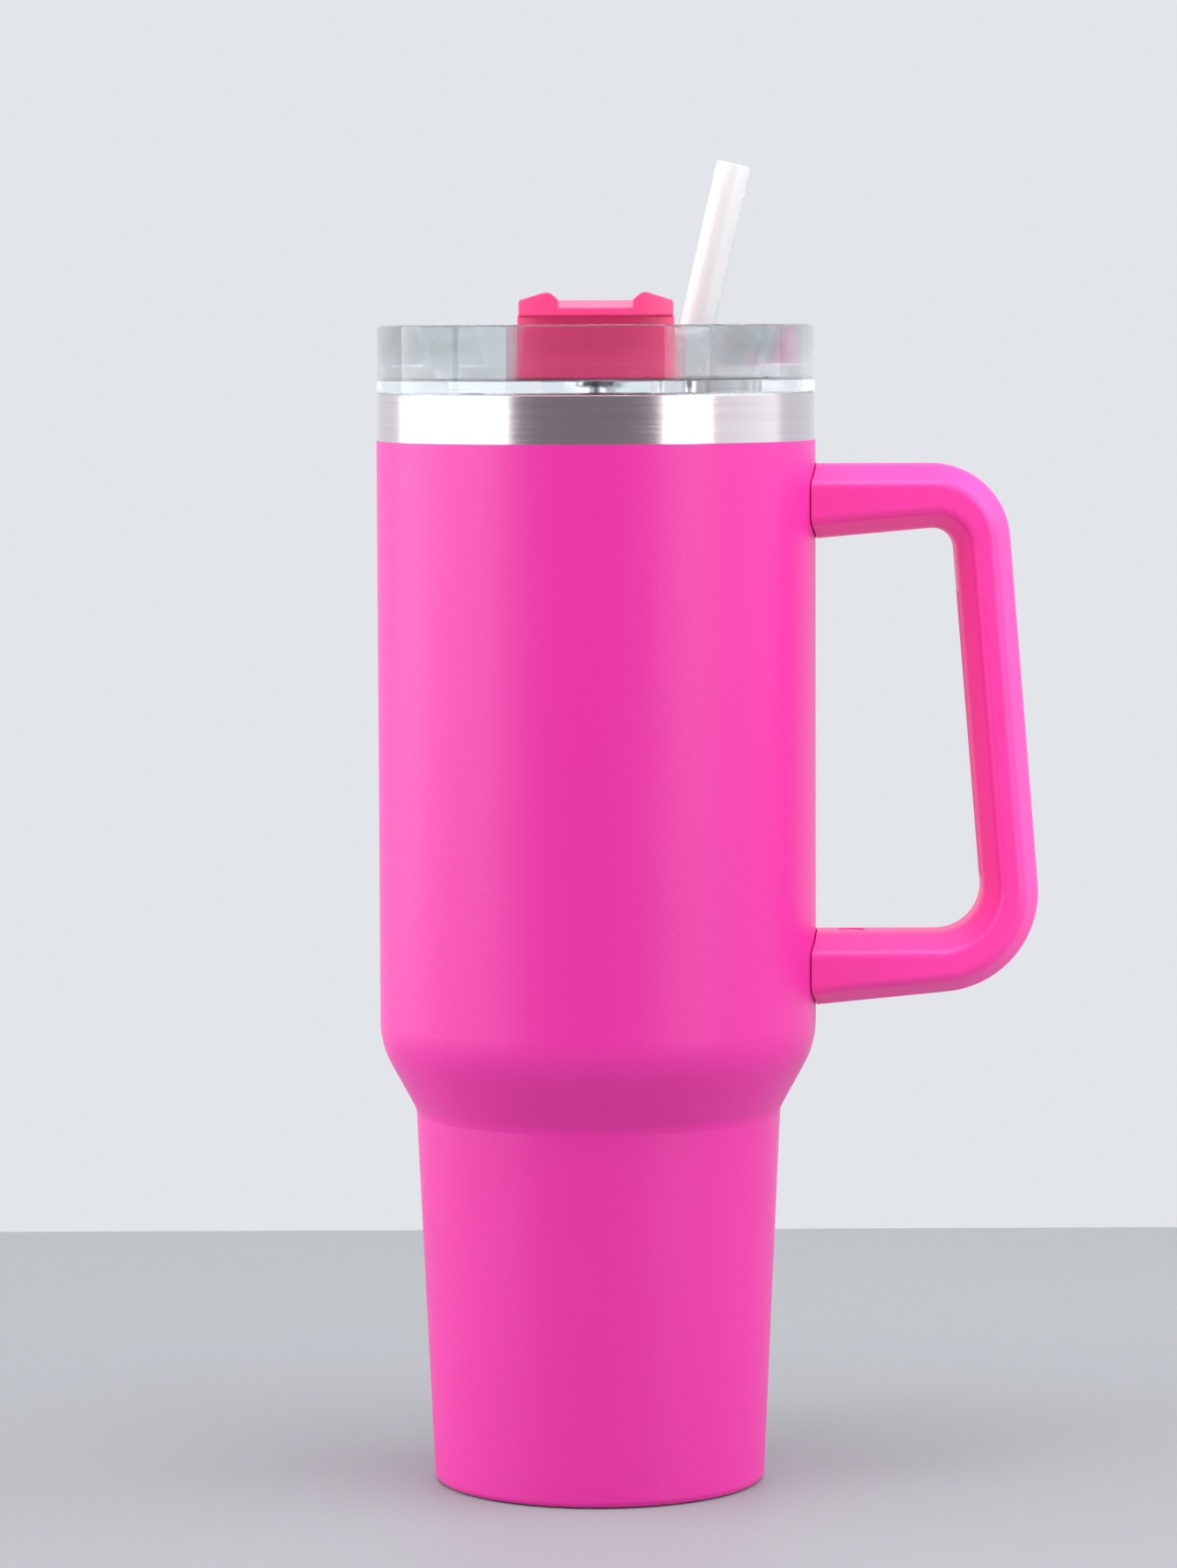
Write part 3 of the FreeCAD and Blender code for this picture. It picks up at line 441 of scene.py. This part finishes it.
def side_handle():
    """A C-shaped outline, rounded at its corners, thickened and bevelled towards both sides."""
    high = corners_mm("handle_frame")[1]
    middle = high.y - BEVEL_ALONG
    under = high.z - ARM_HEIGHT
    arm_top = LOWER_ARM_UNDERSIDE + ARM_HEIGHT
    drop = ARM_SLOPE * (BODY_RADIUS - ROOT)
    outline = rounded([
        (ROOT, high.z, 0),
        (OUTSIDE_TOP, high.z, OUTSIDE_TOP_ROUND),
        (*OUTSIDE_BOTTOM, OUTSIDE_BOTTOM_ROUND),
        (ROOT, LOWER_ARM_UNDERSIDE - drop, 0),
        (ROOT, arm_top, 0),
        (INSIDE_BOTTOM, arm_top, INSIDE_BOTTOM_ROUND),
        (INSIDE_TOP, under + ARM_SLOPE * INSIDE_TOP_REACH, INSIDE_TOP_ROUND),
        (ROOT, under - drop, 0),
    ])
    piece = drawn("handle_outline", [(across, -middle, up) for across, up in outline])
    bpy.ops.mesh.extrude_region_move(TRANSFORM_OT_translate={"value": (0, 2 * middle * MM, 0)})
    settle()
    edit(piece)
    select("FACE", lambda mesh, face: abs(face.normal.y) > 0.99)
    bpy.ops.mesh.inset(thickness=BEVEL_IN * MM, depth=BEVEL_ALONG * MM)
    select("EDGE", lambda mesh, edge: is_crease(mesh, edge, middle, high.y))
    bpy.ops.mesh.bevel(offset=CREASE_ROUND * MM, segments=5, affect="EDGES", clamp_overlap=False)
    settle()
    cutters = [round_bar(BODY_RADIUS + HANDLE_GAP, 90, 250, sides=256)]
    for level in ("upper", "lower"):
        near, far = corners_mm(f"{level}_bracket")
        play = Vector((SOCKET_PLAY, SOCKET_PLAY, SOCKET_PLAY))
        cutters.append(block(Vector((ROOT, near.y, near.z)) - play, far + play))
    near, far = corners_mm("screw_plugs")
    plug_x, plug_radius = (near.x + far.x) / 2, (far.x - near.x) / 2
    cutters.append(round_bar(plug_radius, under - BEYOND, under + UPPER_PLUG_DEPTH, x=plug_x))
    cutters.append(round_bar(plug_radius, arm_top - LOWER_PLUG_DEPTH, arm_top + BEYOND, x=plug_x))
    carve(piece, *cutters)
    complete(piece, "side_handle", "handle_frame", "vessel", "handle_plastic")


# ---- The lid, its drink cover and the straw, in mm -----------------------------------------------
DECK_TOP = 247.7
DECK_BOTTOM = 245.2
FLANGE_TOP = 247.9
PIVOT_BORE = 3.05
PIVOT_SEAT = 4.45
SEAT_FLOOR = 246.25
FLANGE_BOTTOM = 245.0
SKIRT_RADIUS = 44.4
SKIRT_WALL = 2.0
SEAL_DEPTH = 1.0
WALL_SET_BACK = 0.25
WALL_AT_TOP = 1.85
WALL_AT_DECK = 7.25
SLOT_NEAR, SLOT_FAR = (-11, -36.5), (11, -27.5)
GROMMET_RADIUS, GROMMET_X = 6.3, 19.42

EAR_ROUND = 1.5
COVER_ROUND = 0.4

STRAW_LEAN = math.radians(13.2)
STRAW_RADIUS = 4.0
STRAW_WALL = 0.7
STRAW_RIM = 0.3


def clear_lid():
    """The lid's wall, sloping bowl, deck and skirt in one spun ring, with its openings cut out."""
    low, high = corners_mm("lid_body")
    seal_low, seal_high = corners_mm("lid_seal")
    skirt, skirt_inside = SKIRT_RADIUS, SKIRT_RADIUS - SKIRT_WALL
    wall = high.x - WALL_SET_BACK
    piece = spun("lid_outline", rounded([
        (PIVOT_BORE, DECK_BOTTOM, 0),
        (skirt_inside, DECK_BOTTOM, 0.6),
        (skirt_inside, low.z, 0.6),
        (skirt, low.z, 0.6),
        (skirt, seal_low.z, 0),
        (skirt - SEAL_DEPTH, seal_low.z, 0),
        (skirt - SEAL_DEPTH, seal_high.z, 0),
        (skirt, seal_high.z, 0),
        (skirt, FLANGE_BOTTOM, 0.25),
        (high.x, FLANGE_BOTTOM, 0.5),
        (high.x, FLANGE_TOP, 0.2),
        (wall, FLANGE_TOP, 0),
        (wall, high.z, 0.74),
        (wall - WALL_AT_TOP, high.z, 0.74),
        (wall - WALL_AT_DECK, DECK_TOP, 1.2),
        (PIVOT_SEAT, DECK_TOP, 0),
        (PIVOT_SEAT, SEAT_FLOOR, 0),
        (PIVOT_BORE, SEAT_FLOOR, 0),
    ]), steps=192)
    bottom, top = DECK_BOTTOM - BEYOND, DECK_TOP + BEYOND
    carve(piece, block((*SLOT_NEAR, bottom), (*SLOT_FAR, top)),
          round_bar(GROMMET_RADIUS, bottom, top, x=GROMMET_X))
    complete(piece, "clear_lid", "lid_body", "lid", "clear_plastic")


def is_ear_ridge(mesh, edge, top):
    """True for the long ridges on top of the cover's two ears."""
    ends = [mesh.vertices[index].co / MM for index in edge.vertices]
    return all(abs(end.z - top) < 0.02 for end in ends) and abs(ends[0].x - ends[1].x) < 0.02


def drink_cover():
    """The turning cover: its joined solid with every edge softened."""
    mesh = nodes["rotating_cover"].data.copy()
    piece = bpy.data.objects.new("drink_cover", mesh)
    bpy.context.scene.collection.objects.link(piece)
    edit(piece)
    bpy.ops.mesh.select_all(action="SELECT")
    bpy.ops.mesh.remove_doubles(threshold=1e-5)
    bpy.ops.mesh.dissolve_limited(angle_limit=math.radians(0.6))
    high = corners_mm("rotating_cover")[1]
    select("EDGE", lambda mesh, edge: is_ear_ridge(mesh, edge, high.z))
    bpy.ops.mesh.bevel(offset=EAR_ROUND * MM, segments=5, affect="EDGES")
    bpy.ops.object.mode_set(mode="OBJECT")
    modify(piece, "BEVEL", width=COVER_ROUND * MM, segments=3, limit_method="ANGLE",
           angle_limit=math.radians(24), use_clamp_overlap=False)
    complete(piece, "drink_cover", "rotating_cover", "cover", "cover_plastic")


def drinking_straw():
    """A tube with rounded rims, leaning towards the handle."""
    low, high = corners_mm("straw")
    across, along = math.cos(STRAW_LEAN), math.sin(STRAW_LEAN)
    length = (high.z - low.z - 2 * STRAW_RADIUS * along) / across
    piece = spun("straw_outline", rounded([
        (STRAW_RADIUS - STRAW_WALL, 0, STRAW_RIM),
        (STRAW_RADIUS, 0, STRAW_RIM),
        (STRAW_RADIUS, length, STRAW_RIM),
        (STRAW_RADIUS - STRAW_WALL, length, STRAW_RIM),
    ]), steps=72)
    piece.location = Vector((low.x + STRAW_RADIUS * across, 0, low.z + STRAW_RADIUS * along)) * MM
    piece.rotation_euler = (0, STRAW_LEAN, 0)
    only(piece)
    bpy.ops.object.transform_apply(location=True, rotation=True, scale=True)
    complete(piece, "drinking_straw", "straw", "straw", "clear_plastic", STRAW_FINISH)


side_handle()
clear_lid()
drink_cover()
drinking_straw()


# ---- Stage, light and camera, in metres ----------------------------------------------------------
TABLE_BACK = 0.345
TABLE_FRONT = 1.1
TABLE_WIDTH = 3.2
TABLE_THICKNESS = 0.04

LIGHT_AIM = Vector((0, 0, 0.13))
SOFTBOXES = (  # name, azimuth and elevation in degrees, distance, width, height, radiance
    ("left_key", -61, 6, 1.3, 0.66, 1.5, 3.6),
    ("left_fill", -100, 6, 1.3, 1.0, 1.5, 2.6),
    ("right_key", 48, 6, 1.3, 0.58, 1.5, 3.5),
    ("right_fill", 88, 42, 1.3, 1.1, 1.0, 2.6),
    ("right_haze", 88, 2, 1.3, 1.1, 1.1, 0.66),
    ("top_softbox", -10, 72, 1.4, 1.2, 0.9, 4.0),
)

CAMERA_PLACE = (-0.00196, -1.25, 0.260)
CAMERA_TILT = math.radians(90 - 4.7)
CAMERA_ROLL = math.radians(-0.23)
LENS_MM = 128.3
SENSOR_MM = 36


def table_top():
    """A plain table, which carries the object and isn't part of it."""
    bpy.ops.object.select_all(action="DESELECT")
    bpy.ops.mesh.primitive_cube_add(size=1)
    top = bpy.context.object
    top.name = "table_top"
    top.dimensions = (TABLE_WIDTH, TABLE_FRONT + TABLE_BACK, TABLE_THICKNESS)
    top.location = (0, (TABLE_BACK - TABLE_FRONT) / 2, cad_low.z - TABLE_THICKNESS / 2)
    bpy.ops.object.transform_apply(location=True, rotation=True, scale=True)
    finish = Finish("table_top", Roughness=0.6)
    weave = finish.noise(finish.place((1, 8, 1)), 180.0, 3.0)
    finish.feed("Base Color", finish.mix(weave, linear(147, 152, 155), linear(153, 158, 161)))
    top.data.materials.append(finish.material)


def softbox(name, azimuth, elevation, distance, width, height, radiance):
    """A soft light round the object: azimuth 0 is the camera's side, positive to the right."""
    turn, lift = math.radians(azimuth), math.radians(elevation)
    level = math.cos(lift)
    away = Vector((math.sin(turn) * level, -math.cos(turn) * level, math.sin(lift)))
    data = bpy.data.lights.new(name, "AREA")
    data.shape = "RECTANGLE"
    data.size = width
    data.size_y = height
    data.energy = radiance * math.pi * width * height
    light = bpy.data.objects.new(name, data)
    bpy.context.scene.collection.objects.link(light)
    light.location = LIGHT_AIM + away * distance
    light.rotation_euler = away.to_track_quat("Z", "Y").to_euler()
    light.visible_camera = False


def studio():
    """A room that is darker in front of the object than behind it, plain to the camera."""
    world = bpy.data.worlds.new("studio")
    bpy.context.scene.world = world
    world.use_nodes = True
    tree = world.node_tree
    background = tree.nodes["Background"]
    path = tree.nodes.new("ShaderNodeLightPath")
    direction = tree.nodes.new("ShaderNodeTexCoord")
    split = tree.nodes.new("ShaderNodeSeparateXYZ")
    tree.links.new(direction.outputs["Generated"], split.inputs[0])
    ramp = tree.nodes.new("ShaderNodeValToRGB")
    shape_ramp(ramp.color_ramp, [(0.0, linear(142, 132, 137)), (1.0, linear(240, 242, 246))])
    span = tree.nodes.new("ShaderNodeMapRange")
    span.inputs["From Min"].default_value = -0.6
    span.inputs["From Max"].default_value = 0.5
    tree.links.new(split.outputs["Y"], span.inputs["Value"])
    tree.links.new(span.outputs["Result"], ramp.inputs["Fac"])
    mix = tree.nodes.new("ShaderNodeMix")
    mix.data_type = "RGBA"
    mix.inputs[7].default_value = linear(226, 229, 234)
    tree.links.new(ramp.outputs["Color"], mix.inputs[6])
    tree.links.new(path.outputs["Is Camera Ray"], mix.inputs[0])
    tree.links.new(mix.outputs[2], background.inputs["Color"])
    for box in SOFTBOXES:
        softbox(*box)


def camera():
    data = bpy.data.cameras.new("camera")
    data.sensor_width = SENSOR_MM
    data.lens = LENS_MM
    data.clip_start = 0.01
    view = bpy.data.objects.new("camera", data)
    bpy.context.scene.collection.objects.link(view)
    turned = Euler((CAMERA_TILT, 0, 0)).to_matrix() @ Matrix.Rotation(CAMERA_ROLL, 3, "Z")
    view.matrix_world = Matrix.Translation(CAMERA_PLACE) @ turned.to_4x4()
    bpy.context.scene.camera = view


table_top()
studio()
camera()
bpy.context.scene.view_settings.view_transform = "Standard"

# Light crosses the clear lid many times before it leaves.
for limit, count in (("max_bounces", 40), ("transmission_bounces", 40), ("glossy_bounces", 24)):
    setattr(bpy.context.scene.cycles, limit, count)
